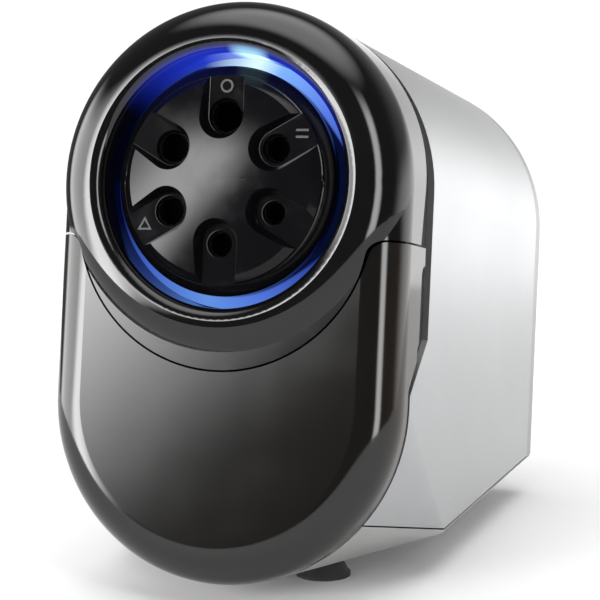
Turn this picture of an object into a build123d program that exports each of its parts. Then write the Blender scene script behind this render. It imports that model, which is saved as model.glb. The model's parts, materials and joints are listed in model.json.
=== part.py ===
from build123d import *
from math import atan2, cos, degrees, pi, radians, sin, sqrt, tan
import os

# Electric classroom pencil sharpener with a six-hole selector dial.
#
# Every piece is drawn square to the body axis: X is to the right, Y runs from the
# front face to the rear cover, and Z is up, square to the axis. The whole machine
# leans back on its feet, so one location, found at the end, stands every piece up.

# ---------------------------------------------------------------- driving sizes
LEAN = 10  # degrees that the body axis slopes down to the rear
HALF_WIDTH = 71
ARCH = 152  # height of the centre of the arch, which is the dial's axis too
BELLY = 68  # height of the centre of the round front belly
FRONT_ROUND = 15  # rounding from the front face to the side band
WALL = 2.5
BODY_END = 228.5
COVER_DEPTH = 10
COVER_BACK = BODY_END + COVER_DEPTH

# the body's section at three depths: depth, height of the underside, corner radius
SECTIONS = ((21.5, -3, 70.9), (82, 16.8, 3.2), (BODY_END, 42.6, 3.2))

GROUND_DROP = 13.3  # the table under the front face, below Z = 0
FOOT_HEIGHT = 13.5
FRONT_FOOT = (25, 68)
REAR_FOOT = (36, 200)

# drawer and bezel
STEP = 131  # height of the joint between the bezel and the drawer
LOBE_RADIUS = 59.6  # the round lower lobe of the bezel
LOBE_CENTRE = 139.2
HORN_ROUND = 8  # rounding where the joint turns down into the lobe
SPLIT = 0.8  # gap round the drawer
SKIN = 2.4
RECESS = 1.1
BIN_HALF = 48
BIN_LOW = 29
BIN_TOP = 78
BIN_END = 120
CREST = 54
CREST_RISE = 5.5
WELL = 49

# dial
DIAL_RIM = 44.3
DIAL_BACK = 9
HOLE_CIRCLE = 24.5
HOLES = (12, 11.5, 10.5, 9, 8, 9.5)  # diameters, anticlockwise from the top
POCKET_FLOOR = -2
POCKET_HALF = 6.75
SPINDLE = 4
RUNNING = 0.05  # radial clearance of every shaft

# drive train: heights of the three gear axes above the deck
MODULE = 1
CARRIER_TEETH = 40
IDLER_SMALL = 12
IDLER_BIG = 36
PINION_TEETH = 12
RING_TEETH = 30
CUTTER_TEETH = 8
CUTTER_AXIS = ARCH + HOLE_CIRCLE
IDLER_AXIS = CUTTER_AXIS - MODULE * (CARRIER_TEETH + IDLER_SMALL) / 2
MOTOR_AXIS = IDLER_AXIS - MODULE * (IDLER_BIG + PINION_TEETH) / 2
CUTTER_OFFSET = MODULE * (RING_TEETH - CUTTER_TEETH) / 2
HUB = 5
IDLER_SHAFT = 2.5
MOTOR_SHAFT = 1.6
DECK = 95  # top of the deck that carries the drive
GUIDE_BORE = 6.6


def across(depth):
    """A sketch plane square to the body axis, this far behind the front face."""
    return Plane.XZ.offset(-depth)


def side(offset):
    """A sketch plane that sees the body from its right side: depth by height."""
    return Plane.YZ.offset(offset)


def section(depth, inset):
    """The body's outline here: an arch, straight sides and rounded lower corners."""
    near, far = SECTIONS[:2] if depth <= SECTIONS[1][0] else SECTIONS[1:]
    share = max(0, (depth - near[0]) / (far[0] - near[0]))
    bottom = near[1] + share * (far[1] - near[1])
    corner = near[2] + share * (far[2] - near[2])
    half = HALF_WIDTH - inset
    low = bottom + inset
    turn = corner - inset
    with BuildSketch(across(depth)) as outline:
        with BuildLine():
            ThreePointArc((half, ARCH), (0, ARCH + half), (-half, ARCH))
            Line((-half, ARCH), (-half, low + turn))
            CenterArc((turn - half, low + turn), turn, 180, 90)
            Line((turn - half, low), (half - turn, low))
            CenterArc((half - turn, low + turn), turn, 270, 90)
            Line((half, low + turn), (half, ARCH))
        make_face()
    return outline.sketch


def body(start, end, inset):
    """The solid body between two depths, with a bend where the belly ends."""
    bend = SECTIONS[1][0]
    stops = [start, end]
    if start < SECTIONS[0][0] < end:
        stops.insert(1, SECTIONS[0][0])
    if start < bend < end:
        stops.insert(-1, bend)
    with BuildPart() as solid:
        for near, far in zip(stops, stops[1:]):
            loft([section(near, inset), section(far, inset)], ruled=True)
    return solid.part


def gear(teeth, phase, inside=False):
    """A gear outline with straight-flanked teeth, the first one at this phase."""
    pitch = MODULE * teeth / 2
    tip = pitch + (-0.8 if inside else 0.8) * MODULE
    root = pitch + (1.05 if inside else -1.05) * MODULE
    at_tip = degrees(0.42 / pitch)
    at_root = degrees(1.0 / pitch)
    points = []
    for tooth in range(teeth):
        middle = phase + 360 * tooth / teeth
        for radius, turn in ((root, -at_root), (tip, -at_tip), (tip, at_tip), (root, at_root)):
            angle = radians(middle + turn)
            points.append((radius * cos(angle), radius * sin(angle)))
    with BuildSketch() as outline:
        Polygon(*points, align=None)
    return outline.sketch


# ---------------------------------------------------------------- silver housing
outer_body = body(SECTIONS[0][0], BODY_END, 0)
inner_body = body(SECTIONS[0][0], BODY_END, WALL)

with BuildPart() as upper_housing:
    add(outer_body)
    add(inner_body, mode=Mode.SUBTRACT)
    # the side panels run down to a seam just above the base; their front edge steps
    # forward under a diagonal, where the drawer's band steps forward too
    with BuildSketch(side(-100)):
        with BuildLine():
            Polyline((43.7, 95), (43.7, 230), (BODY_END, 230), (BODY_END, 45.5), (82, 19.7),
                     (21.5, 23.2), (22, 73), close=True)
        make_face()
    extrude(amount=200, mode=Mode.INTERSECT)

with BuildPart() as base_housing:
    add(outer_body)
    add(inner_body, mode=Mode.SUBTRACT)
    with BuildSketch(side(-100)):
        with BuildLine():
            Polyline((21.5, 22.6), (82, 19.1), (BODY_END, 44.9), (BODY_END, -10), (21.5, -10), close=True)
        make_face()
    extrude(amount=200, mode=Mode.INTERSECT)

lean = radians(LEAN)
ground = Plane(origin=(0, 0, -GROUND_DROP), x_dir=(1, 0, 0), z_dir=(0, -sin(lean), cos(lean)))
foot_spots = []
for across_x, depth in (FRONT_FOOT, REAR_FOOT):
    for hand in (-1, 1):
        foot_spots.append((hand * across_x, depth / cos(lean)))

# each foot stands in a cup in the base, with a hole for its spigot
with BuildPart(ground) as foot_cups:
    with Locations([(x, y, FOOT_HEIGHT - 1.5) for x, y in foot_spots]):
        Cylinder(9, 8, align=(Align.CENTER, Align.CENTER, Align.MIN))

with BuildPart(ground) as foot_room:
    with Locations([(x, y, 0) for x, y in foot_spots]):
        Cylinder(6.4, FOOT_HEIGHT, align=(Align.CENTER, Align.CENTER, Align.MIN))
        Cylinder(2.6, FOOT_HEIGHT + 6.5, align=(Align.CENTER, Align.CENTER, Align.MIN))

with BuildPart() as base_with_cups:
    add(base_housing.part)
    add(foot_cups.part)
    add(foot_room.part, mode=Mode.SUBTRACT)

# suction-cup feet: a thin skirt on the table, a dome, and a spigot into its cup
with BuildPart(ground) as rubber_feet:
    with Locations([(x, y, 0) for x, y in foot_spots]):
        Cylinder(11, 1.4, align=(Align.CENTER, Align.CENTER, Align.MIN))
    with Locations([(x, y, 1.4) for x, y in foot_spots]):
        Cone(10.6, 8.2, 4.4, align=(Align.CENTER, Align.CENTER, Align.MIN))
    with Locations([(x, y, 5.8) for x, y in foot_spots]):
        Cone(8.2, 6, 1.6, align=(Align.CENTER, Align.CENTER, Align.MIN))
    with Locations([(x, y, 7.4) for x, y in foot_spots]):
        Cylinder(6, FOOT_HEIGHT - 7.4, align=(Align.CENTER, Align.CENTER, Align.MIN))
    with Locations([(x, y, FOOT_HEIGHT) for x, y in foot_spots]):
        Cylinder(2.5, 6, align=(Align.CENTER, Align.CENTER, Align.MIN))
    with Locations([(x, y, 0) for x, y in foot_spots]):
        Cone(8, 3, 2.2, align=(Align.CENTER, Align.CENTER, Align.MIN), mode=Mode.SUBTRACT)

# ---------------------------------------------------------------- rear cover
VENT_ROWS = 7
GLAND = (-40, 66)
REAR_SCREW_SPOTS = ((-58, 64), (58, 64), (-46, 190), (46, 190))

with BuildPart() as rear_cover:
    add(body(BODY_END, COVER_BACK, 0))
    rear_edges = rear_cover.faces().sort_by(Axis.Y)[-1].edges()
    fillet(rear_edges, 2.5)
    add(body(BODY_END, COVER_BACK - 3, WALL), mode=Mode.SUBTRACT)
    with BuildSketch(across(COVER_BACK)):
        with Locations((0, 150)):
            with GridLocations(0, 8, 1, VENT_ROWS):
                SlotOverall(56, 3.4)
        with Locations(GLAND):
            Circle(7)
        with Locations(*REAR_SCREW_SPOTS):
            Circle(1.6)
    extrude(amount=20, both=True, mode=Mode.SUBTRACT)

with BuildPart() as cord_gland:
    with BuildSketch(across(COVER_BACK - 8)):
        with Locations(GLAND):
            Circle(6.9)
    extrude(amount=-8)
    with BuildSketch(across(COVER_BACK)):
        with Locations(GLAND):
            Circle(9)
    extrude(amount=-2.5)
    with BuildSketch(across(BODY_END)):
        with Locations(GLAND):
            Circle(3.6)
    extrude(amount=-20, mode=Mode.SUBTRACT)

with BuildPart() as rear_posts:
    with BuildSketch(across(BODY_END - 14)):
        with Locations(*REAR_SCREW_SPOTS):
            Circle(4)
            Circle(1.5, mode=Mode.SUBTRACT)
    extrude(amount=-(COVER_DEPTH + 11))

with BuildPart() as rear_screws:
    with BuildSketch(across(COVER_BACK)):
        with Locations(*REAR_SCREW_SPOTS):
            Circle(3.4)
    extrude(amount=-1.6)
    with BuildSketch(across(BODY_END - 8)):
        with Locations(*REAR_SCREW_SPOTS):
            Circle(1.45)
    extrude(amount=-(COVER_DEPTH + 8))

# ---------------------------------------------------------------- front frame
BEZEL_POSTS = []
for angle in (38, 142, 270):
    BEZEL_POSTS.append((60 * cos(radians(angle)), ARCH + 60 * sin(radians(angle))))
PLUNGER = (54, 60)
LEVER_PIVOT = (24, CUTTER_AXIS + 8)
FRAME_FRONT = 16
FRAME_FACE = 40
FRAME_BACK = 44

with BuildPart() as front_frame:
    add(body(FRAME_FRONT, FRAME_BACK, WALL + 0.1))
    add(body(FRAME_FRONT, FRAME_FACE, 5), mode=Mode.SUBTRACT)
    with BuildSketch(across(FRAME_FACE)):
        # the way in for the shavings bin, the pencil and the interlock plunger
        with Locations((0, (BIN_LOW + BIN_TOP) / 2)):
            Rectangle(2 * BIN_HALF + 1.6, BIN_TOP - BIN_LOW + 2)
        with Locations((0, CUTTER_AXIS)):
            Circle(9.6)
        with Locations(PLUNGER):
            Circle(2 + RUNNING)
        with Locations((0, ARCH)):
            Circle(SPINDLE - 1.5)
        with Locations(*BEZEL_POSTS):
            Circle(1.6)
    extrude(amount=-(FRAME_BACK - FRAME_FACE), mode=Mode.SUBTRACT)

with BuildPart() as bezel_screws:
    with BuildSketch(across(FRAME_BACK)):
        with Locations(*BEZEL_POSTS):
            Circle(3.4)
    extrude(amount=-2.2)
    with BuildSketch(across(32)):
        with Locations(*BEZEL_POSTS):
            Circle(1.5)
    extrude(amount=-(FRAME_BACK - 32))

# ---------------------------------------------------------------- bezel
def bezel_region(grow):
    """The front above the joint: the whole arch, and the round lobe below it."""
    with BuildSketch(across(-10)) as region:
        with Locations((0, STEP - grow + 100)):
            Rectangle(200, 200)
        with Locations((0, LOBE_CENTRE)):
            Circle(LOBE_RADIUS + grow)
        fillet(region.vertices().filter_by_position(Axis.X, -80, 80), HORN_ROUND - grow)
    return region.sketch


with BuildPart() as front_bezel:
    with BuildSketch(across(0)):
        with Locations((0, (ARCH + BELLY) / 2)):
            SlotCenterToCenter(ARCH - BELLY, 2 * HALF_WIDTH, rotation=90)
    extrude(amount=-FRAME_FACE)
    fillet(front_bezel.faces().sort_by(Axis.Y)[0].edges(), FRONT_ROUND)
    # the raised crest round the dial, with a rolled inner lip
    with BuildSketch(Plane(origin=(0, 0, ARCH), x_dir=(1, 0, 0), z_dir=(0, 0, 1))):
        with BuildLine():
            Line((WELL - 2, 16), (WELL - 2, 0))
            Line((WELL - 2, 0), (WELL, 0))
            EllipticalCenterArc((CREST, 0), CREST - WELL, CREST_RISE, start_angle=180, arc_size=90)
            EllipticalCenterArc((CREST, FRONT_ROUND), HALF_WIDTH - CREST, FRONT_ROUND + CREST_RISE,
                                start_angle=270, arc_size=90)
            Line((HALF_WIDTH, FRONT_ROUND), (HALF_WIDTH, 16))
            Line((HALF_WIDTH, 16), (WELL - 2, 16))
        make_face()
    revolve(axis=Axis((0, 0, ARCH), (0, 1, 0)))
    extrude(bezel_region(0), amount=-60, mode=Mode.INTERSECT)
    # hollow it from behind
    with BuildSketch(across(9)):
        with Locations((0, ARCH)):
            Circle(HALF_WIDTH - SKIN - 1.6)
        with Locations((0, (ARCH + STEP) / 2 + 1.3)):
            Rectangle(2 * (HALF_WIDTH - SKIN - 1.6), ARCH - STEP - 2.6)
        with Locations((0, LOBE_CENTRE)):
            Circle(LOBE_RADIUS - SKIN)
        with Locations((0, ARCH)):
            Circle(CREST, mode=Mode.SUBTRACT)
    extrude(amount=-7, mode=Mode.SUBTRACT)
    with BuildSketch(across(16)):
        with Locations((0, ARCH)):
            Circle(HALF_WIDTH - SKIN)
        with Locations((0, (ARCH + STEP) / 2)):
            Rectangle(2 * (HALF_WIDTH - SKIN), ARCH - STEP + 1)
        with Locations((0, LOBE_CENTRE)):
            Circle(LOBE_RADIUS - SKIN)
    extrude(amount=-40, mode=Mode.SUBTRACT)
    # the well that the dial turns in
    with BuildSketch(across(-10)):
        with Locations((0, ARCH)):
            Circle(WELL)
    extrude(amount=-40, mode=Mode.SUBTRACT)
    # the rear edge of the band slopes back as it rises
    with BuildSketch(side(-100)):
        with BuildLine():
            Polyline((19, 72), (42.5, 225), (60, 225), (60, 72), close=True)
        make_face()
    extrude(amount=200, mode=Mode.SUBTRACT)
    with BuildSketch(across(9)):
        with Locations(*BEZEL_POSTS):
            Circle(4.2)
    extrude(amount=-(FRAME_FACE - 9))
    with BuildSketch(across(32)):
        with Locations(*BEZEL_POSTS):
            Circle(1.5)
    extrude(amount=-20, mode=Mode.SUBTRACT)

# ---------------------------------------------------------------- shavings drawer
with BuildPart() as shavings_drawer:
    with BuildSketch(across(0)):
        with Locations((0, (ARCH + BELLY) / 2)):
            SlotCenterToCenter(ARCH - BELLY, 2 * HALF_WIDTH, rotation=90)
    extrude(amount=-35)
    fillet(shavings_drawer.faces().sort_by(Axis.Y)[0].edges(), FRONT_ROUND)
    with BuildSketch(across(SKIN)):
        with Locations((0, (ARCH + BELLY) / 2)):
            SlotCenterToCenter(ARCH - BELLY, 2 * (HALF_WIDTH - SKIN), rotation=90)
    hollow = extrude(amount=-40, mode=Mode.PRIVATE)
    hollow = hollow.fillet(FRONT_ROUND - SKIN, hollow.faces().sort_by(Axis.Y)[0].edges())
    add(hollow, mode=Mode.SUBTRACT)
    # the notch for the bezel, and the stepped rear edge of the side bands
    extrude(bezel_region(SPLIT), amount=-60, mode=Mode.SUBTRACT)
    with BuildSketch(side(-100)):
        with BuildLine():
            Polyline((35.5, 140), (35.5, 94), (19.5, 75), (19.5, -10), (60, -10), (60, 140), close=True)
        make_face()
    extrude(amount=200, mode=Mode.SUBTRACT)
    # a shallow finger recess along the rear edge of each side band
    for hand in (-1, 1):
        with BuildSketch(side(hand * (HALF_WIDTH - RECESS))):
            with BuildLine():
                Polyline((30.5, 116), (33.5, 122), (36, 122), (36, 92), (30.5, 88), close=True)
            make_face()
        extrude(amount=hand * 2, taper=-50, mode=Mode.SUBTRACT)
    # the bin behind the front panel, open at the top
    with BuildSketch(across(1.2)):
        with Locations((0, (BIN_LOW + BIN_TOP) / 2)):
            Rectangle(2 * BIN_HALF, BIN_TOP - BIN_LOW)
    extrude(amount=-(BIN_END - 1.2))
    with BuildSketch(across(SKIN)):
        with Locations((0, (BIN_LOW + BIN_TOP) / 2 + 12)):
            Rectangle(2 * BIN_HALF - 4, BIN_TOP - BIN_LOW + 20)
    extrude(amount=-(BIN_END - 2 - SKIN), mode=Mode.SUBTRACT)

# ---------------------------------------------------------------- dial and its seat
with BuildPart() as selector_dial:
    with BuildSketch(Plane(origin=(0, 0, ARCH), x_dir=(1, 0, 0), z_dir=(0, 0, 1))):
        with BuildLine():
            Line((0, DIAL_BACK), (0, -8.5))
            ThreePointArc((0, -8.5), (19, -7.7), (37, -5.2))
            Line((37, -5.2), (DIAL_RIM - 0.8, 1.2))
            Line((DIAL_RIM - 0.8, 1.2), (DIAL_RIM, 2.4))
            Line((DIAL_RIM, 2.4), (DIAL_RIM, 5.5))
            Line((DIAL_RIM, 5.5), (41.4, 5.5))
            Line((41.4, 5.5), (41.4, DIAL_BACK))
            Line((41.4, DIAL_BACK), (0, DIAL_BACK))
        make_face()
    revolve(axis=Axis((0, 0, ARCH), (0, 1, 0)))
    # six drafted pockets, open to the rim, with the pencil holes in their floors
    with BuildSketch(across(POCKET_FLOOR)):
        with Locations((0, ARCH)):
            with PolarLocations(HOLE_CIRCLE + 20, 6, start_angle=90):
                SlotCenterToCenter(40, 2 * POCKET_HALF)
    extrude(amount=9, taper=-24, mode=Mode.SUBTRACT)
    for place, size in enumerate(HOLES):
        angle = radians(90 + 60 * place)
        centre = (HOLE_CIRCLE * cos(angle), ARCH + HOLE_CIRCLE * sin(angle))
        with BuildSketch(across(POCKET_FLOOR - 1)):
            with Locations(centre):
                Circle(size / 2)
        extrude(amount=-20, mode=Mode.SUBTRACT)
        with BuildSketch(across(POCKET_FLOOR)):
            with Locations(centre):
                Circle(size / 2 + 0.9)
        extrude(amount=-2, taper=24, mode=Mode.SUBTRACT)
    with BuildSketch(across(0)):
        with Locations((0, ARCH)):
            Circle(SPINDLE + RUNNING)
    extrude(amount=-20, mode=Mode.SUBTRACT)

# shallow raised marks on the pocket floors: a ring, two bars and a triangle
MARK_CIRCLE = 36
mark_places = []
for place in (0, 5, 2):
    angle = radians(90 + 60 * place)
    mark_places.append((MARK_CIRCLE * cos(angle), ARCH + MARK_CIRCLE * sin(angle)))

with BuildPart() as dial_marks:
    with BuildSketch(across(POCKET_FLOOR)):
        with Locations(mark_places[0]):
            Circle(2.6)
            Circle(1.8, mode=Mode.SUBTRACT)
        with Locations(mark_places[1]):
            with GridLocations(0, 2.6, 1, 2):
                Rectangle(5, 0.9)
        with Locations(mark_places[2]):
            RegularPolygon(3.4, 3, rotation=90)
            RegularPolygon(2.0, 3, rotation=90, mode=Mode.SUBTRACT)
    extrude(amount=0.25)

with BuildPart() as dial_spindle:
    with BuildSketch(across(1)):
        with Locations((0, ARCH)):
            Circle(SPINDLE)
    extrude(amount=-(FRAME_FACE - 1))
    with BuildSketch(across(FRAME_FACE)):
        with Locations((0, ARCH)):
            Circle(SPINDLE - 1.5)
    extrude(amount=-(FRAME_BACK - FRAME_FACE))

with BuildPart() as light_ring:
    with BuildSketch(Plane(origin=(0, 0, ARCH), x_dir=(1, 0, 0), z_dir=(0, 0, 1))):
        with BuildLine():
            Polyline((42, 7), (42, 16), (WELL - 0.3, 16), (WELL - 0.3, 12), close=True)
        make_face()
    revolve(axis=Axis((0, 0, ARCH), (0, 1, 0)))

with BuildPart() as dial_seat:
    with BuildSketch(across(16)):
        with Locations((0, ARCH)):
            Circle(53)
    extrude(amount=-2.4)
    with BuildSketch(across(18.4)):
        with Locations((0, ARCH)):
            Circle(53)
            Circle(50.6, mode=Mode.SUBTRACT)
    extrude(amount=-(FRAME_FACE - 18.4))
    with BuildSketch(across(16)):
        with Locations((0, ARCH)):
            Circle(SPINDLE)
        with Locations((0, CUTTER_AXIS)):
            Circle(9)
        with Locations((0, ARCH + 45.4)):
            Circle(2.5)
        with Locations((-30, ARCH)):
            Circle(1.5)
    extrude(amount=-2.4, mode=Mode.SUBTRACT)

with BuildPart() as led_lamp:
    with BuildSketch(across(16)):
        with Locations((0, ARCH + 45.4)):
            Circle(2.5)
    extrude(amount=-5)

with BuildPart() as led_board:
    with BuildSketch(across(21)):
        with Locations((0, ARCH + 42.4)):
            Rectangle(24, 12)
    extrude(amount=-1.6)

# the click spring: a strip on the seat with a nose that rides behind the dial
with BuildPart() as click_spring:
    with BuildSketch(across(15.4)):
        with Locations((-24, ARCH)):
            Rectangle(20, 6)
    extrude(amount=-0.6)
    with BuildSketch(across(9.6)):
        with Locations((-18, ARCH)):
            Circle(1.6)
    extrude(amount=-5.8)
    with BuildSketch(across(16)):
        with Locations((-30, ARCH)):
            Circle(1.5)
    extrude(amount=-4)

with BuildPart() as pencil_guide:
    with BuildSketch(across(9.7)):
        with Locations((0, CUTTER_AXIS)):
            Circle(9)
    extrude(amount=-(FRAME_BACK + 1 - 9.7))
    with BuildSketch(across(9.7)):
        with Locations((0, CUTTER_AXIS)):
            Circle(GUIDE_BORE)
    extrude(amount=-40, mode=Mode.SUBTRACT)

# ---------------------------------------------------------------- cutter and carrier
CAGE = 22
CAGE_FRONT = 56
CAGE_REAR = 97

with BuildPart() as cutter_carrier:
    with BuildSketch(across(CAGE_FRONT)):
        with Locations((0, CUTTER_AXIS)):
            Circle(CAGE)
            Circle(GUIDE_BORE, mode=Mode.SUBTRACT)
    extrude(amount=-4)
    with BuildSketch(across(CAGE_REAR - 4)):
        with Locations((0, CUTTER_AXIS)):
            Circle(CAGE)
    extrude(amount=-4)
    with BuildSketch(across(CAGE_FRONT + 4)):
        with Locations((0, CUTTER_AXIS)):
            with PolarLocations(18, 2, start_angle=120, angular_range=240):
                Rectangle(6, 8)
    extrude(amount=-(CAGE_REAR - CAGE_FRONT - 8))
    with BuildSketch(across(CAGE_REAR)):
        with Locations((0, CUTTER_AXIS)):
            Circle(HUB)
    extrude(amount=-34)
    with BuildSketch(across(CAGE_FRONT)):
        with Locations((CUTTER_OFFSET, CUTTER_AXIS)):
            Circle(1.5 + RUNNING)
    extrude(amount=-4, mode=Mode.SUBTRACT)
    with BuildSketch(across(CAGE_REAR - 4)):
        with Locations((CUTTER_OFFSET, CUTTER_AXIS)):
            Circle(2 + RUNNING)
    extrude(amount=-4, mode=Mode.SUBTRACT)

# a tapered cutter with spiral edges: star outlines that turn as they grow
FLUTES = 9
CUT_FRONT = 60.5
CUT_REAR = 92.5
stars = []
for step in range(5):
    along = step / 4
    tip = 5.2 + 4.8 * along
    corners = []
    for corner in range(2 * FLUTES):
        radius = tip if corner % 2 == 0 else tip - 1.3
        angle = radians(180 * corner / FLUTES + 60 * along)
        corners.append((CUTTER_OFFSET + radius * cos(angle), CUTTER_AXIS + radius * sin(angle)))
    with BuildSketch(across(CUT_FRONT + along * (CUT_REAR - CUT_FRONT))) as star:
        Polygon(*corners, align=None)
    stars.append(star.sketch)

with BuildPart() as spiral_cutter:
    loft(stars, ruled=True)
    with BuildSketch(across(CAGE_FRONT + 1)):
        with Locations((CUTTER_OFFSET, CUTTER_AXIS)):
            Circle(1.5)
    extrude(amount=-(CUT_FRONT - CAGE_FRONT - 1))
    with BuildSketch(across(CUT_REAR)):
        with Locations((CUTTER_OFFSET, CUTTER_AXIS)):
            Circle(2)
    extrude(amount=-(102.5 - CUT_REAR))

# outlines of every gear, with the meshing teeth facing each other at rest
carrier_outline = gear(CARRIER_TEETH, 0)
idler_small_outline = gear(IDLER_SMALL, 180 / IDLER_SMALL)
idler_big_outline = gear(IDLER_BIG, 0)
pinion_outline = gear(PINION_TEETH, 180 / PINION_TEETH)
ring_outline = gear(RING_TEETH, 180 / RING_TEETH, inside=True)
cutter_outline = gear(CUTTER_TEETH, 0)

with BuildPart() as cutter_pinion:
    with BuildSketch(across(98.5)):
        with Locations((CUTTER_OFFSET, CUTTER_AXIS)):
            add(cutter_outline)
            Circle(2, mode=Mode.SUBTRACT)
    extrude(amount=-4)

with BuildPart() as ring_gear:
    with BuildSketch(across(98.8)):
        with Locations((0, CUTTER_AXIS)):
            Circle(21)
            add(ring_outline, mode=Mode.SUBTRACT)
    extrude(amount=-5.2)

# ---------------------------------------------------------------- gearbox
PLATE_FRONT = 104
PLATE_REAR = 128
PLATE = 3
POST_SPOTS = ((-25, 101), (25, 101), (-25, 198), (25, 198))

with BuildPart() as gearbox_front_plate:
    with BuildSketch(across(PLATE_FRONT)):
        with Locations((0, (DECK + 206) / 2)):
            RectangleRounded(62, 206 - DECK, 5)
        with Locations((0, CUTTER_AXIS)):
            Circle(8, mode=Mode.SUBTRACT)
        with Locations((0, IDLER_AXIS)):
            Circle(5, mode=Mode.SUBTRACT)
        with Locations(*POST_SPOTS):
            Circle(1.6, mode=Mode.SUBTRACT)
    extrude(amount=-PLATE)

with BuildPart() as gearbox_rear_plate:
    with BuildSketch(across(PLATE_REAR)):
        with Locations((0, (DECK + 206) / 2)):
            RectangleRounded(62, 206 - DECK, 5)
        with Locations((0, CUTTER_AXIS)):
            Circle(8, mode=Mode.SUBTRACT)
        with Locations((0, IDLER_AXIS)):
            Circle(5, mode=Mode.SUBTRACT)
        with Locations((0, MOTOR_AXIS)):
            Circle(4, mode=Mode.SUBTRACT)
        with Locations(*POST_SPOTS):
            Circle(1.6, mode=Mode.SUBTRACT)
    extrude(amount=-PLATE)

with BuildPart() as gearbox_posts:
    with BuildSketch(across(PLATE_FRONT + PLATE)):
        with Locations(*POST_SPOTS):
            Circle(4)
            Circle(1.5, mode=Mode.SUBTRACT)
    extrude(amount=-(PLATE_REAR - PLATE_FRONT - PLATE))

with BuildPart() as gearbox_screws:
    for start, run in ((PLATE_FRONT - 2, 10), (PLATE_REAR + PLATE + 2, -10)):
        with BuildSketch(across(start)):
            with Locations(*POST_SPOTS):
                Circle(3.2)
        extrude(amount=-2 if run > 0 else 2)
        with BuildSketch(across(start)):
            with Locations(*POST_SPOTS):
                Circle(1.5)
        extrude(amount=-run)

with BuildPart() as bearing_bushes:
    for start in (PLATE_FRONT, PLATE_REAR):
        with BuildSketch(across(start)):
            with Locations((0, CUTTER_AXIS)):
                Circle(8)
                Circle(HUB + RUNNING, mode=Mode.SUBTRACT)
            with Locations((0, IDLER_AXIS)):
                Circle(5)
                Circle(IDLER_SHAFT + RUNNING, mode=Mode.SUBTRACT)
        extrude(amount=-PLATE)

with BuildPart() as carrier_gear:
    with BuildSketch(across(109)):
        with Locations((0, CUTTER_AXIS)):
            add(carrier_outline)
            Circle(HUB, mode=Mode.SUBTRACT)
    extrude(amount=-6)

with BuildPart() as idler_gears:
    with BuildSketch(across(108.5)):
        with Locations((0, IDLER_AXIS)):
            add(idler_small_outline)
            Circle(IDLER_SHAFT, mode=Mode.SUBTRACT)
    extrude(amount=-7)
    with BuildSketch(across(115.5)):
        with Locations((0, IDLER_AXIS)):
            Circle(6)
            Circle(IDLER_SHAFT, mode=Mode.SUBTRACT)
    extrude(amount=-2.5)
    with BuildSketch(across(118)):
        with Locations((0, IDLER_AXIS)):
            add(idler_big_outline)
            Circle(IDLER_SHAFT, mode=Mode.SUBTRACT)
    extrude(amount=-5)

with BuildPart() as idler_shaft:
    with BuildSketch(across(PLATE_FRONT)):
        with Locations((0, IDLER_AXIS)):
            Circle(IDLER_SHAFT)
    extrude(amount=-(PLATE_REAR + PLATE - PLATE_FRONT))

# ---------------------------------------------------------------- motor
CAN_FRONT = 135
CAN_REAR = 185
CAN = 21

with BuildPart() as motor_can:
    with BuildSketch(across(CAN_FRONT)):
        with Locations((0, MOTOR_AXIS)):
            Circle(CAN)
    extrude(amount=-(CAN_REAR - CAN_FRONT))
    with BuildSketch(across(CAN_FRONT + 2)):
        with Locations((0, MOTOR_AXIS)):
            Circle(CAN - 1.6)
    extrude(amount=-(CAN_REAR - CAN_FRONT), mode=Mode.SUBTRACT)
    with BuildSketch(across(PLATE_REAR + PLATE)):
        with Locations((0, MOTOR_AXIS)):
            Circle(9)
    extrude(amount=-4)
    with BuildSketch(across(PLATE_REAR)):
        with Locations((0, MOTOR_AXIS)):
            Circle(MOTOR_SHAFT + RUNNING)
    extrude(amount=-20, mode=Mode.SUBTRACT)

with BuildPart() as motor_end_cap:
    with BuildSketch(across(CAN_REAR)):
        with Locations((0, MOTOR_AXIS)):
            Circle(CAN)
            Circle(MOTOR_SHAFT + RUNNING, mode=Mode.SUBTRACT)
    extrude(amount=-4)

with BuildPart() as motor_rotor:
    with BuildSketch(across(117.5)):
        with Locations((0, MOTOR_AXIS)):
            Circle(MOTOR_SHAFT)
    extrude(amount=-80.5)
    with BuildSketch(across(142)):
        with Locations((0, MOTOR_AXIS)):
            Circle(15)
            with PolarLocations(13.5, 5):
                Rectangle(4, 1.6, mode=Mode.SUBTRACT)
    extrude(amount=-34)

with BuildPart() as motor_pinion:
    with BuildSketch(across(117.5)):
        with Locations((0, MOTOR_AXIS)):
            add(pinion_outline)
            Circle(MOTOR_SHAFT, mode=Mode.SUBTRACT)
    extrude(amount=-6.5)

with BuildPart() as cooling_fan:
    with BuildSketch(across(190)):
        with Locations((0, MOTOR_AXIS)):
            Circle(5)
            with PolarLocations(12, 7):
                Rectangle(15, 2.2)
            Circle(MOTOR_SHAFT, mode=Mode.SUBTRACT)
    extrude(amount=-7)

# ---------------------------------------------------------------- deck and electrics
BOARD_SPOTS = ((-34, 140), (34, 140), (-34, 210), (34, 210))
BOARD = 80

with BuildPart() as chassis_deck:
    with BuildSketch(Plane.XY.offset(DECK - 3)):
        with Locations((0, (47 + 224) / 2)):
            Rectangle(2 * (HALF_WIDTH - WALL) - 1, 224 - 47)
        # the chute that drops the shavings into the bin
        with Locations((0, 76)):
            Rectangle(50, 44, mode=Mode.SUBTRACT)
    extrude(amount=3)
    with BuildSketch(Plane.XY.offset(BOARD + 1.6)):
        with Locations(*BOARD_SPOTS):
            Circle(3)
    extrude(amount=DECK - 3 - BOARD - 1.6)

with BuildPart() as power_board:
    with BuildSketch(Plane.XY.offset(BOARD)):
        with Locations((0, 175)):
            Rectangle(80, 82)
    extrude(amount=1.6)

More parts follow.
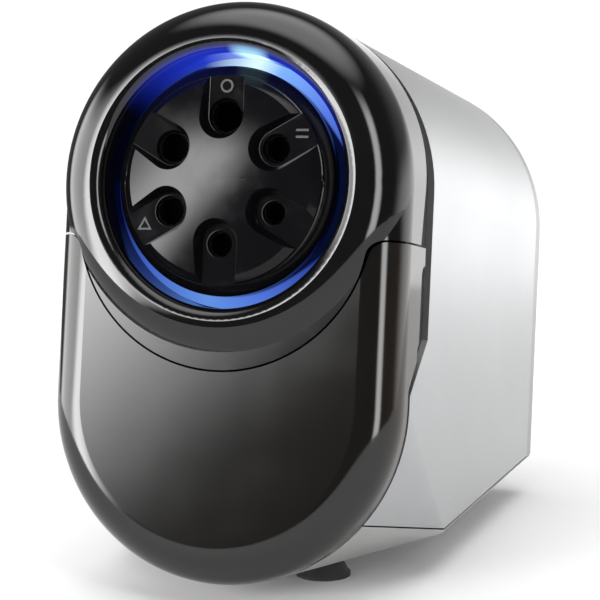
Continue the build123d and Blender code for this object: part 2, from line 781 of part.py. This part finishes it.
with BuildPart() as transformer:
    with BuildSketch(Plane.XY.offset(BOARD)):
        with Locations((-18, 160)):
            Rectangle(30, 34)
    extrude(amount=-22)

with BuildPart() as capacitors:
    with BuildSketch(Plane.XY.offset(BOARD)):
        with Locations((14, 155), (30, 155), (14, 178)):
            Circle(6)
    extrude(amount=-18)

# ---------------------------------------------------------------- switches
LEVER_FRONT = 47.5

with BuildPart() as lever_pin:
    with BuildSketch(across(FRAME_BACK)):
        with Locations(LEVER_PIVOT):
            Circle(2)
    extrude(amount=-9)

with BuildPart() as start_lever:
    with BuildSketch(across(LEVER_FRONT)):
        with Locations(LEVER_PIVOT):
            Circle(4.5)
        with Locations((LEVER_PIVOT[0] / 2 + 3, CUTTER_AXIS + 4.6)):
            Rectangle(22, 4.4, rotation=18)
        with Locations((LEVER_PIVOT[0] + 7, LEVER_PIVOT[1] + 1)):
            Rectangle(12, 4)
        with Locations(LEVER_PIVOT):
            Circle(2 + RUNNING, mode=Mode.SUBTRACT)
    extrude(amount=-3.5)

with BuildPart() as start_switch:
    with BuildSketch(across(FRAME_BACK)):
        with Locations((LEVER_PIVOT[0] + 11, LEVER_PIVOT[1] + 9.5)):
            Rectangle(16, 9)
    extrude(amount=-8)

with BuildPart() as interlock_plunger:
    with BuildSketch(across(SKIN + 0.4)):
        with Locations(PLUNGER):
            Circle(2)
    extrude(amount=-(46.6 - SKIN - 0.4))

with BuildPart() as interlock_switch:
    with BuildSketch(across(FRAME_BACK)):
        with Locations((PLUNGER[0], PLUNGER[1])):
            Rectangle(12, 20)
    extrude(amount=-14)
    with BuildSketch(across(FRAME_BACK)):
        with Locations(PLUNGER):
            Circle(2.6)
    extrude(amount=-3, mode=Mode.SUBTRACT)

# ---------------------------------------------------------------- stand it up
pieces = {
    "front_bezel": front_bezel,
    "shavings_drawer": shavings_drawer,
    "selector_dial": selector_dial,
    "dial_marks": dial_marks,
    "light_ring": light_ring,
    "dial_seat": dial_seat,
    "dial_spindle": dial_spindle,
    "click_spring": click_spring,
    "led_lamp": led_lamp,
    "led_board": led_board,
    "pencil_guide": pencil_guide,
    "front_frame": front_frame,
    "bezel_screws": bezel_screws,
    "upper_housing": upper_housing,
    "base_housing": base_with_cups,
    "rubber_feet": rubber_feet,
    "rear_cover": rear_cover,
    "rear_posts": rear_posts,
    "rear_screws": rear_screws,
    "cord_gland": cord_gland,
    "chassis_deck": chassis_deck,
    "cutter_carrier": cutter_carrier,
    "carrier_gear": carrier_gear,
    "spiral_cutter": spiral_cutter,
    "cutter_pinion": cutter_pinion,
    "ring_gear": ring_gear,
    "gearbox_front_plate": gearbox_front_plate,
    "gearbox_rear_plate": gearbox_rear_plate,
    "gearbox_posts": gearbox_posts,
    "gearbox_screws": gearbox_screws,
    "bearing_bushes": bearing_bushes,
    "idler_gears": idler_gears,
    "idler_shaft": idler_shaft,
    "motor_can": motor_can,
    "motor_end_cap": motor_end_cap,
    "motor_rotor": motor_rotor,
    "motor_pinion": motor_pinion,
    "cooling_fan": cooling_fan,
    "power_board": power_board,
    "transformer": transformer,
    "capacitors": capacitors,
    "lever_pin": lever_pin,
    "start_lever": start_lever,
    "start_switch": start_switch,
    "interlock_plunger": interlock_plunger,
    "interlock_switch": interlock_switch,
}

tilt = Rotation(-LEAN, 0, 0)
leaning = Compound(children=[tilt * piece.part for piece in pieces.values()])
box = leaning.bounding_box()
stand = Pos(-box.center().X, -box.center().Y, -box.min.Z) * tilt
print("stood up by", -box.center().X, -box.center().Y, -box.min.Z, "size", box.size)

os.makedirs("parts", exist_ok=True)
for label, piece in pieces.items():
    standing = stand * piece.part
    standing.label = label
    export_step(standing, f"parts/{label}.step")
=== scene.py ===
# %% [markdown]
# # A lit pencil sharpener
# The machine comes in from its CAD model as fixed pieces in metres, each riding on
# the body that moves it. This lesson gives every piece its finish and lights the
# whole as in a product studio. No piece is moved or reshaped.

# %% Load the machine
import json
from math import pi, radians

import bmesh
import bpy
from mathutils import Matrix, Vector

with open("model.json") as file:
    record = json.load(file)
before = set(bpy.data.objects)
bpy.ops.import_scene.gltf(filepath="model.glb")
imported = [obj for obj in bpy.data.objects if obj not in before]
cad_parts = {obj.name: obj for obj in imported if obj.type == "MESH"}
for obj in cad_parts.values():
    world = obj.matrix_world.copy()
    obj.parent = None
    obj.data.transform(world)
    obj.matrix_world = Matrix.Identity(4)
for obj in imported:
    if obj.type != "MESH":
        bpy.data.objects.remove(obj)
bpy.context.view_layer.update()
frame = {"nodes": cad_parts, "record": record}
nodes = frame["nodes"]

# %% [markdown]
# The machine leans back on its feet by ten degrees, but it is easier to think of it
# standing square: X to the right, Y from the face to the back, Z up. One matrix
# stands square places up on the table, and taking its lean and its shift off again
# tells a material where on the square machine a point lies.

# %% From the square machine to the table
LEAN = radians(-10)
STAND = Matrix.Translation((0, -0.137530, 0.013098)) @ Matrix.Rotation(LEAN, 4, "X")
DIAL_HEIGHT = 0.152
DIAL_HEIGHT_MM = DIAL_HEIGHT * 1000
print("the dial's centre stands at", (STAND @ Vector((0, 0, DIAL_HEIGHT)))[:])

# %% [markdown]
# Materials are node trees, but their sums read best as sums. This class holds one
# output socket of a tree, and each operator adds the Math node that works it out.


# %% Sums that build shader nodes
class Sock:
    def __init__(self, tree, out):
        self.tree, self.out = tree, out

    def math(self, operation, *others):
        return node(self.tree, "ShaderNodeMath", {"operation": operation}, [self, *others])

    def __add__(self, other):
        return self.math("ADD", other)

    def __sub__(self, other):
        return self.math("SUBTRACT", other)

    def __rsub__(self, other):
        return node(self.tree, "ShaderNodeMath", {"operation": "SUBTRACT"}, [other, self])

    def __mul__(self, other):
        return self.math("MULTIPLY", other)

    def __truediv__(self, other):
        return self.math("DIVIDE", other)

    def __pow__(self, other):
        return self.math("POWER", other)

    __radd__ = __add__
    __rmul__ = __mul__

    def clamp(self, low=0.0, high=1.0):
        return self.math("MAXIMUM", low).math("MINIMUM", high)

    def step(self, start, end):
        """0 before start, 1 after end, and a smooth rise between them."""
        ranged = {"interpolation_type": "SMOOTHSTEP"}
        return node(self.tree, "ShaderNodeMapRange", ranged, [self, start, end, 0.0, 1.0])


print("shader sums ready")

# %% [markdown]
# `node` adds any other node: its settings first, then its socket values or links.
# The Mix node repeats the names of its sockets for every kind of value, so its
# colour sockets are picked by number.

# %% Nodes and colour mixes
MIX_SHARE, MIX_ONE, MIX_OTHER, MIX_RESULT = 0, 6, 7, 2


def node(tree, kind, settings=None, inputs=(), out=0):
    made = tree.nodes.new(kind)
    for name, value in (settings or {}).items():
        if name == "stops":
            ramp = made.color_ramp
            while len(ramp.elements) < len(value):
                ramp.elements.new(0.5)
            for element, (place, colour) in zip(ramp.elements, value):
                element.position, element.color = place, (*colour, 1)
        else:
            setattr(made, name, value)
    named = inputs.items() if isinstance(inputs, dict) else enumerate(inputs)
    for key, value in named:
        if isinstance(value, Sock):
            tree.links.new(value.out, made.inputs[key])
        else:
            made.inputs[key].default_value = value
    return Sock(tree, made.outputs[out])


def mix(tree, share, one, other):
    """One colour turning into another as share goes from 0 to 1."""
    sockets = {MIX_SHARE: share, MIX_ONE: one, MIX_OTHER: other}
    return node(tree, "ShaderNodeMix", {"data_type": "RGBA"}, sockets, out=MIX_RESULT)


print("nodes and mixes ready")

# %% [markdown]
# Every finish starts the same way: an empty tree, one Principled shader, and the
# place of each point on the square machine, which the object's own coordinates
# give once the lean is taken off again.


# %% A new finish
def finish(name):
    made = bpy.data.materials.new(name)
    made.use_nodes = True
    tree = made.node_tree
    tree.nodes.clear()
    shader = tree.nodes.new("ShaderNodeBsdfPrincipled")
    last = tree.nodes.new("ShaderNodeOutputMaterial")
    tree.links.new(shader.outputs[0], last.inputs[0])
    return made, tree, shader


def square_place(tree):
    """Millimetres on the square machine, as one vector."""
    at = node(tree, "ShaderNodeTexCoord", out="Object")
    off = node(tree, "ShaderNodeVectorMath", {"operation": "SUBTRACT"},
               [at, STAND.translation])
    turn = {"rotation_type": "X_AXIS"}
    square = node(tree, "ShaderNodeVectorRotate", turn, {"Vector": off, "Angle": -LEAN})
    return node(tree, "ShaderNodeVectorMath", {"operation": "SCALE"},
                {"Vector": square, "Scale": 1000.0})


def parts(tree, vector):
    """The X, Y and Z of a vector, as three numbers."""
    return [node(tree, "ShaderNodeSeparateXYZ", None, [vector], out=axis) for axis in "XYZ"]


print("a finish knows its place")

# %% [markdown]
# Handling and moulding leave small unevenness on every skin. These helpers make the
# noise, turn it into a faint relief, and put values into the shader's sockets.


# %% Grain, relief and sockets
def grain(tree, vector, scale, detail=3.0, stretch=None):
    """Noise from 0 to 1, stretched along an axis for brushed metal."""
    if stretch:
        vector = node(tree, "ShaderNodeVectorMath", {"operation": "MULTIPLY"},
                      [vector, stretch])
    return node(tree, "ShaderNodeTexNoise", None,
                {"Vector": vector, "Scale": scale, "Detail": detail})


def bump(tree, height, distance, strength=1.0):
    return node(tree, "ShaderNodeBump", None,
                {"Strength": strength, "Distance": distance, "Height": height})


def set_sockets(tree, shader, **values):
    for name, value in values.items():
        socket = shader.inputs[name.replace("_", " ")]
        if isinstance(value, Sock):
            tree.links.new(value.out, socket)
        else:
            socket.default_value = value


print("finish tools ready")

# %% [markdown]
# ## Round the dial
# The ring's glow, and the blue that it throws on the wall of the well, change with
# the place round the dial's axis. This helper turns a point into its place on that
# clock.


# %% Places round the dial
def clock_angle(tree):
    """Turns round the dial, clockwise from the left, then radius, sine and cosine."""
    x, _, z = parts(tree, square_place(tree))
    height = z - DIAL_HEIGHT_MM
    turn = node(tree, "ShaderNodeMath", {"operation": "ARCTAN2"}, [height, x * -1])
    radius = (x * x + height * height) ** 0.5
    return (turn / (2 * pi)).math("FRACT"), radius, x / radius, height / radius


print("dial clock ready")

# %% [markdown]
# ## Piano-black plastic
# The bezel and the dial are moulded in glossy black. Real gloss isn't perfect: the
# skin has a faint long wave, and handling leaves a haze of slightly rougher
# patches. Both come from noise, in millimetres.


# %% Gloss black
def gloss_black(name, tone, rough, haze):
    made, tree, shader = finish(name)
    place = square_place(tree)
    wave = grain(tree, place, 0.05, 1.0)
    smear = grain(tree, place, 0.11, 5.0).step(0.45, 0.75)
    hazy_tone = tuple(t * 1.5 for t in tone)
    set_sockets(tree, shader,
                Base_Color=mix(tree, smear * 0.5, (*tone, 1), (*hazy_tone, 1)),
                Roughness=rough + smear * haze,
                Normal=bump(tree, wave, 0.00002, 0.3), IOR=1.5)
    return made, tree, shader


print("gloss black ready")

# %% [markdown]
# The well's wall in the bezel catches blue light from the lamp above it, most of all
# close to the lamp. The real glow is light that comes through the ring and bounces;
# here it is painted as the wall's own light, which is steadier and quicker.

# %% Bezel
WALL_INSIDE, WALL_OUTSIDE = 49.2, 52.5
bezel_black, tree, shader = gloss_black(
    "piano black bezel", (0.0015, 0.0015, 0.0018), 0.05, 0.05)
_, radius, right, high = clock_angle(tree)
near_lamp = high * 0.985 + right * 0.17
wall = 1 - radius.step(WALL_INSIDE, WALL_OUTSIDE)
deep_blue = mix(tree, wall * near_lamp.step(0.35, 1.0), (0, 0, 0, 1), (0.012, 0.03, 0.5, 1))
hot_spot = mix(tree, wall * near_lamp.step(0.982, 1.0), deep_blue, (0.4, 0.75, 1.0, 1))
set_sockets(tree, shader, Emission_Strength=1.0, Emission_Color=hot_spot)
print(bezel_black.name)

# %% [markdown]
# The dial is a little less shiny than the bezel. The shading of its pocket floors
# looks a little downwards, by a slope of height over a thin layer at their depth;
# the floors themselves are flat.

# %% Dial
POCKET_FLOOR = -2.0
FLOOR_TILT = 0.00014
dial_black, tree, shader = gloss_black(
    "moulded black dial", (0.002, 0.002, 0.0025), 0.12, 0.06)
_, depth, up = parts(tree, square_place(tree))
from_floor = depth.step(POCKET_FLOOR - 0.4, POCKET_FLOOR - 0.1)
to_floor = 1 - depth.step(POCKET_FLOOR + 0.1, POCKET_FLOOR + 0.4)
slope = (up - DIAL_HEIGHT_MM) * (from_floor * to_floor)
set_sockets(tree, shader, Specular_IOR_Level=0.22, Normal=bump(tree, slope, FLOOR_TILT))
print(dial_black.name)

# %% [markdown]
# ## Smoked plastic
# The drawer is clear plastic tinted a warm brown-black. Face on it looks black,
# because there is a dark bin behind it; where the wall is seen along its length,
# at the sides, the rims and the notch, the brown shows. Both are painted into the
# colour by place: painted shade near black face on, and painted light that turns
# it browner towards the outer wall and its edges.


# %% Smoke
def smoke():
    made, tree, shader = finish("smoked drawer plastic")
    place = square_place(tree)
    x, y, _ = parts(tree, place)
    # Painted shade and light: near black face on, and browner at the rims and side bands
    # where light passes along the wall; the cloud adds a little random tone.
    rim = x.math("ABSOLUTE").step(62.0, 71.0)
    band = y.step(6.0, 20.0)
    cloud = grain(tree, place, 0.03, 2.0)
    painted_light_and_tone = (rim * 0.55 + band * 0.35 + cloud * 0.12).clamp()
    colour = mix(tree, painted_light_and_tone, (0.0022, 0.002, 0.0017, 1), (0.016, 0.011, 0.008, 1))
    smear = cloud.step(0.4, 0.8)
    set_sockets(tree, shader, Base_Color=colour, Roughness=0.09 + smear * 0.03,
                Normal=bump(tree, grain(tree, place, 0.04, 1.0), 0.00003, 0.08), IOR=1.52)
    return made


smoke_plastic = smoke()
print(smoke_plastic.name)

# %% [markdown]
# ## Silver housing
# The shell is a satin metal skin. Fine brush lines run from front to back, so the
# noise is squeezed across them and drawn out along Y. The lines stir the roughness
# and the brightness a little, never the shape.

# %% Satin silver
BRUSHED_ALONG_Y = (6.0, 0.12, 6.0)


def satin_silver(name, light, dark, rough, metal):
    made, tree, shader = finish(name)
    place = square_place(tree)
    lines = grain(tree, place, 1.0, 4.0, stretch=BRUSHED_ALONG_Y)
    patch = grain(tree, place, 0.02, 2.0)
    share = (lines * 0.7 + patch * 0.3).step(0.3, 0.7)
    set_sockets(tree, shader, Base_Color=mix(tree, share, (*dark, 1), (*light, 1)),
                Metallic=metal, Roughness=rough + lines * 0.12,
                Normal=bump(tree, lines, 0.00003, 0.5))
    return made


silver_panel = satin_silver(
    "satin silver skin", (0.44, 0.444, 0.45), (0.39, 0.394, 0.40), 0.28, 0.95)
silver_base = satin_silver(
    "satin grey base", (0.46, 0.46, 0.455), (0.40, 0.40, 0.395), 0.36, 0.9)
cover_grey = satin_silver(
    "silver rear cover", (0.4, 0.4, 0.41), (0.34, 0.34, 0.35), 0.38, 0.8)
print(silver_panel.name, silver_base.name, cover_grey.name)

# %% [markdown]
# ## Moulded, rubbery and inner finishes
# The frame, the feet and the inner parts are plain plastics and metals. One maker
# serves them all: a base tone, a grain size for the moulded texture, and a little
# dust or rub that lightens patches of it here and there.


# %% Plain moulded and machined finishes
def moulded(name, tone, rough, size, depth, metal=0.0, rub=0.15):
    made, tree, shader = finish(name)
    place = square_place(tree)
    texture = grain(tree, place, size, 4.0)
    cloud = grain(tree, place, 0.06, 3.0)
    lighter = tuple(min(1.0, t * (1 + 2 * rub) + 0.01 * rub) for t in tone)
    colour = mix(tree, cloud.step(0.35, 0.75), (*tone, 1), (*lighter, 1))
    set_sockets(tree, shader, Base_Color=colour, Metallic=metal,
                Roughness=rough + cloud * 0.12, Normal=bump(tree, texture, depth, 0.6))
    return made


frame_black = moulded("matt black frame", (0.012, 0.012, 0.013), 0.48, 2.0, 0.00004)
foot_rubber = moulded("black rubber", (0.014, 0.014, 0.014), 0.62, 1.2, 0.00008, rub=0.4)
mark_grey = moulded("raised grey marks", (0.012, 0.012, 0.014), 0.4, 2.0, 0.00002)
steel = moulded("turned steel", (0.5, 0.51, 0.53), 0.28, 1.5, 0.00002, 1.0)
tool_steel = moulded("ground tool steel", (0.38, 0.39, 0.41), 0.24, 2.5, 0.00003, 1.0)
plate_aluminium = moulded("pressed aluminium", (0.66, 0.67, 0.68), 0.35, 1.0, 0.00003, 1.0)
bush_brass = moulded("sintered brass", (0.62, 0.45, 0.2), 0.34, 3.0, 0.00003, 1.0)
gear_nylon = moulded("ivory nylon", (0.75, 0.71, 0.6), 0.42, 1.5, 0.00003)
board_green = moulded("green circuit board", (0.012, 0.12, 0.05), 0.36, 0.8, 0.00002)
component_dark = moulded("dark component", (0.03, 0.03, 0.045), 0.4, 1.2, 0.00003)
print("ten plain finishes")

# %% [markdown]
# ## The light ring
# A lamp at the top feeds a clear ring behind the dial. The light is white-hot near
# the lamp, gathers again low down, and leaves the left side almost dark, so the
# glow is a ramp of the angle round the dial's axis, clockwise from the left. Where
# the light gathers, it also fills more of the ring's width.

# %% Light
GLOW_STOPS = [
    (0.0, (0.002, 0.004, 0.03)), (0.12, (0.003, 0.006, 0.05)), (0.2, (0.02, 0.05, 0.35)),
    (0.275, (0.7, 0.95, 1.0)), (0.31, (0.2, 0.42, 0.9)), (0.4, (0.09, 0.18, 0.7)),
    (0.5, (0.01, 0.015, 0.2)), (0.6, (0.012, 0.025, 0.25)), (0.7, (0.07, 0.15, 0.6)),
    (0.78, (0.11, 0.25, 0.68)), (0.88, (0.05, 0.11, 0.5)), (0.95, (0.004, 0.01, 0.1)),
]
LIT_FROM, LIT_TO, GATHERED_WIDTH = 46.9, 48.0, 3.4


def ring_light():
    made, tree, shader = finish("blue light ring")
    turn, radius, right, high = clock_angle(tree)
    low_arc = (high * -1).step(0.3, 0.9)
    high_arc = (right * 0.5 + high * 0.87).step(0.6, 0.95)
    gathered = low_arc.math("MAXIMUM", high_arc)
    lit = (radius + gathered * GATHERED_WIDTH).step(LIT_FROM, LIT_TO)
    glow = node(tree, "ShaderNodeValToRGB", {"stops": GLOW_STOPS}, [turn])
    set_sockets(tree, shader, Base_Color=(0.01, 0.02, 0.06, 1), Roughness=0.3,
                Specular_IOR_Level=0.1, Emission_Strength=1.1,
                Emission_Color=mix(tree, lit, (0.0, 0.001, 0.012, 1), glow))
    return made


light_blue = ring_light()
print(light_blue.name)

# %% [markdown]
# ## Painting
# The machine's record names a finish for every piece, as a parts list would, so
# painting is one look-up by that name.

# %% Paint every piece
finishes = {
    "bezel_black": bezel_black, "dial_black": dial_black, "smoke_plastic": smoke_plastic,
    "silver_panel": silver_panel, "silver_base": silver_base, "cover_grey": cover_grey,
    "frame_black": frame_black, "light_blue": light_blue, "mark_grey": mark_grey,
    "foot_rubber": foot_rubber, "steel": steel, "tool_steel": tool_steel,
    "plate_aluminium": plate_aluminium, "bush_brass": bush_brass, "gear_nylon": gear_nylon,
    "board_green": board_green, "component_dark": component_dark,
}
slot_of = {piece["node"]: piece["material_slot"] for piece in frame["record"]["subparts"]}
for name, piece in nodes.items():
    piece.data.materials.clear()
    piece.data.materials.append(finishes[slot_of[name]])
print("painted", len(nodes), "pieces")

# %% [markdown]
# ## Studio
# Gloss black shows nothing but what it reflects, so the studio is drawn by
# direction in the world's own shader: a large soft panel over the left shoulder, a
# tall strip on the right, a bright sweep behind, a soft light overhead, and a dim
# room between them. The eye sees plain white past the floor, because camera rays
# skip the panels.

# %% An empty room
room = bpy.data.worlds.new("white room")
bpy.context.scene.world = room
room.use_nodes = True
air = room.node_tree
air.nodes.clear()
toward = node(air, "ShaderNodeVectorMath", {"operation": "NORMALIZE"},
              [node(air, "ShaderNodeTexCoord", out="Generated")])


def along(direction):
    """How far each direction of the room points along this one."""
    unit = Vector(direction).normalized()
    return node(air, "ShaderNodeVectorMath", {"operation": "DOT_PRODUCT"},
                [toward, unit], out="Value")


print(room.name)

# %% [markdown]
# Each panel is a product of smooth steps, as a soft box is bright in the middle and
# falls off at its edges. The left one has one bright band, is weaker beyond it and
# fades out overhead; the strip is cut off above and below.

# %% Soft panels
ROOM_GLOW, PANEL_GLOW, STRIP_GLOW, SWEEP_GLOW, DOME_GLOW = 0.14, 17.0, 8.0, 2.1, 3.0
SEEN_WHITE = 1.05

up = along((0, 0, 1))
left = along((-0.674, 0.376, 0.635))
left_side = along((-0.85, -0.5, 0.15)).step(0.62, 0.8)
left_panel = left.step(-0.04, 0.13) * (1 - left.step(0.2, 0.4) * 0.68) * left_side
left_panel = left_panel * (1 - up.step(0.3, 0.5))

aside = along((0.62, 0.785, 0)).math("ABSOLUTE")
strip = (1 - aside.step(0.05, 0.2)) * along((0.785, -0.62, 0)).step(0.2, 0.5)
strip = strip * up.step(-0.35, -0.1) * (1 - up.step(0.55, 0.8))

sweep = along((0.45, 0.89, -0.1)).step(0.5, 0.9) * (1 - up.step(-0.02, 0.25) * 0.85)
dome = up.step(0.75, 0.95)

glow = (ROOM_GLOW + left_panel * PANEL_GLOW + strip * STRIP_GLOW
        + sweep * SWEEP_GLOW + dome * DOME_GLOW)
seen = node(air, "ShaderNodeLightPath", out="Is Camera Ray")
strength = glow + seen * (SEEN_WHITE - glow)
sky = node(air, "ShaderNodeBackground", None, {"Color": (1, 1, 1, 1), "Strength": strength})
air.links.new(sky.out, air.nodes.new("ShaderNodeOutputWorld").inputs[0])
print("room with four soft panels")

# %% [markdown]
# The floor is a round pale table under the machine. Past its edge the room goes on
# below the horizon, so the side panel of the machine can reflect the bright sweep.

# %% Floor
FLOOR_RADIUS = 0.9
floor_mesh = bpy.data.meshes.new("floor")
round_top = bmesh.new()
bmesh.ops.create_circle(round_top, cap_ends=True, segments=96, radius=FLOOR_RADIUS)
round_top.to_mesh(floor_mesh)
round_top.free()
floor = bpy.data.objects.new("floor", floor_mesh)
bpy.context.scene.collection.objects.link(floor)
floor_white, floor_tree, floor_shader = finish("pale floor")
floor_cloud = grain(floor_tree, node(floor_tree, "ShaderNodeTexCoord", out="Object"), 0.7)
floor_colour = mix(floor_tree, floor_cloud, (0.84, 0.84, 0.84, 1), (0.87, 0.87, 0.87, 1))
set_sockets(floor_tree, floor_shader, Roughness=0.8, Base_Color=floor_colour)
floor_mesh.materials.append(floor_white)
print("floor", 2 * FLOOR_RADIUS, "m across")

# %% [markdown]
# The camera stands to the right of the face and a little above it, with a long
# lens, and rolls slightly, as a hand-held product view does.

# %% Camera
camera = bpy.data.objects.new("camera", bpy.data.cameras.new("camera"))
camera.data.lens = 124.76
camera.data.sensor_width = 36
camera.data.clip_start = 0.05
camera.location = (0.2862, -0.85094, 0.22175)
camera.rotation_euler = (radians(82.434), radians(0.564), radians(19.028))
bpy.context.scene.collection.objects.link(camera)
bpy.context.scene.camera = camera
bpy.context.scene.view_settings.view_transform = "Standard"
print("camera at", camera.location[:])
